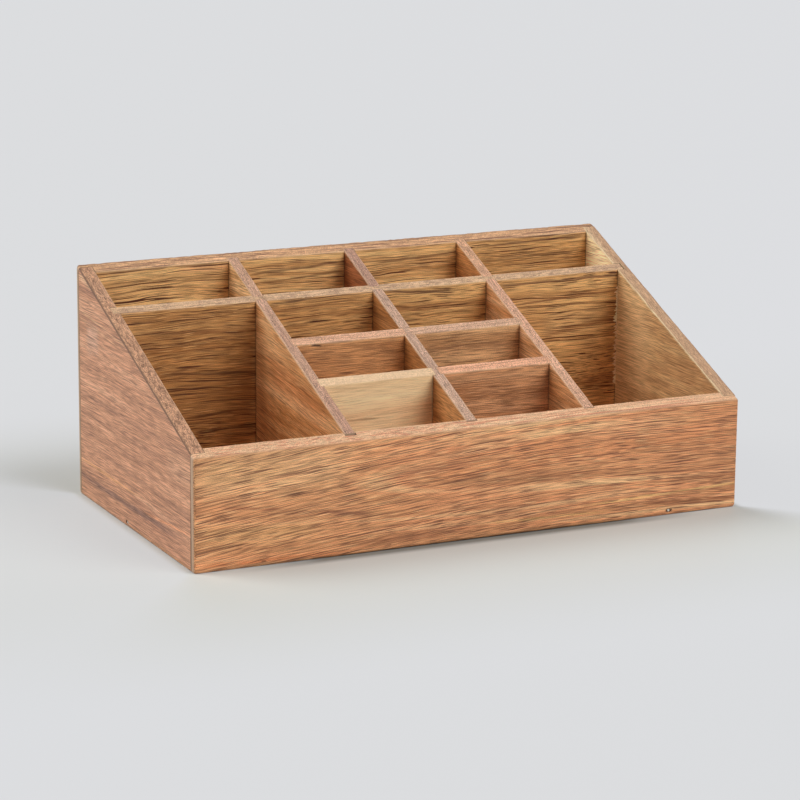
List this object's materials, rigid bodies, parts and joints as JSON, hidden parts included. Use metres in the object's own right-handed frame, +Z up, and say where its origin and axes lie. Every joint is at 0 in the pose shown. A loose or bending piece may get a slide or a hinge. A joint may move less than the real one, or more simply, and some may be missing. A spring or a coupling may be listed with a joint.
{
  "type": "makeup organizer",
  "caption": "Wooden desktop makeup organizer with a sloping top, a tall back and open compartments in rows for lipsticks, brushes, pencils and bottles.",
  "frame": {"origin": "on the table, under the middle of the footprint", "axes": "+X to the right along the front, seen from the front; +Y to the tall back; +Z up. The low front faces -Y."},
  "size_m": [0.3, 0.16, 0.121],
  "materials": {
    "wood_walls": "oiled, satin, orange-brown",
    "wood_bottom": "oiled, matt, mid brown",
    "wood_dividers": "oiled, satin, reddish brown",
    "wood_dividers_dark": "oiled, satin, dark red-brown",
    "wood_dividers_pale": "oiled, satin, pale sapwood",
    "pin_steel": "bare wire"
  },
  "bodies": {
    "root": {"front_panel": "wood_walls", "back_panel": "wood_walls", "left_side": "wood_walls", "right_side": "wood_walls", "bottom_panel": "wood_bottom", "cross_divider": "wood_dividers", "left_divider_rear": "wood_dividers", "left_divider_front": "wood_dividers", "centre_divider_rear": "wood_dividers_dark", "centre_divider_front": "wood_dividers", "right_divider_rear": "wood_dividers", "right_divider_front": "wood_dividers", "short_divider_left_back": "wood_dividers_dark", "short_divider_left_front": "wood_dividers_pale", "short_divider_right_back": "wood_dividers", "short_divider_right_front": "wood_dividers_dark", "pin_front_left": "pin_steel", "pin_front_right": "pin_steel", "pin_back_left": "pin_steel", "pin_back_right": "pin_steel", "pin_left_side": "pin_steel", "pin_right_side": "pin_steel"}
  },
  "joints": []
}
